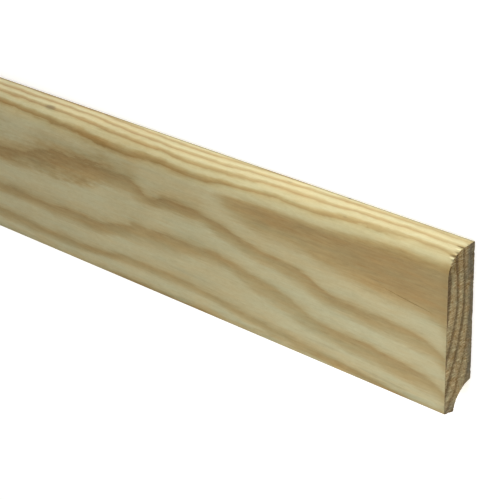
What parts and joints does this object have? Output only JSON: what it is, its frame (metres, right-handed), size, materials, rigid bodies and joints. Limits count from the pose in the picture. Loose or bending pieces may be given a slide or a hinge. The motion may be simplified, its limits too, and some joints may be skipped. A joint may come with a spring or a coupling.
{
  "type": "skirting board length",
  "caption": "Planed softwood skirting board with a rounded top, a flat front and back, and a hollow cove along the foot of the back; square sawn ends.",
  "frame": {"origin": "middle of the flat back's plane, at mid-length and mid-height of the board, which lies on its back on the floor", "axes": "+X along the length, +Y from the foot to the rounded top, +Z out of the front face"},
  "size_m": [2.4, 0.07, 0.0145],
  "materials": {
    "bare_pine": "planed, unfinished"
  },
  "bodies": {
    "root": {"skirting_board": "bare_pine"}
  },
  "joints": []
}
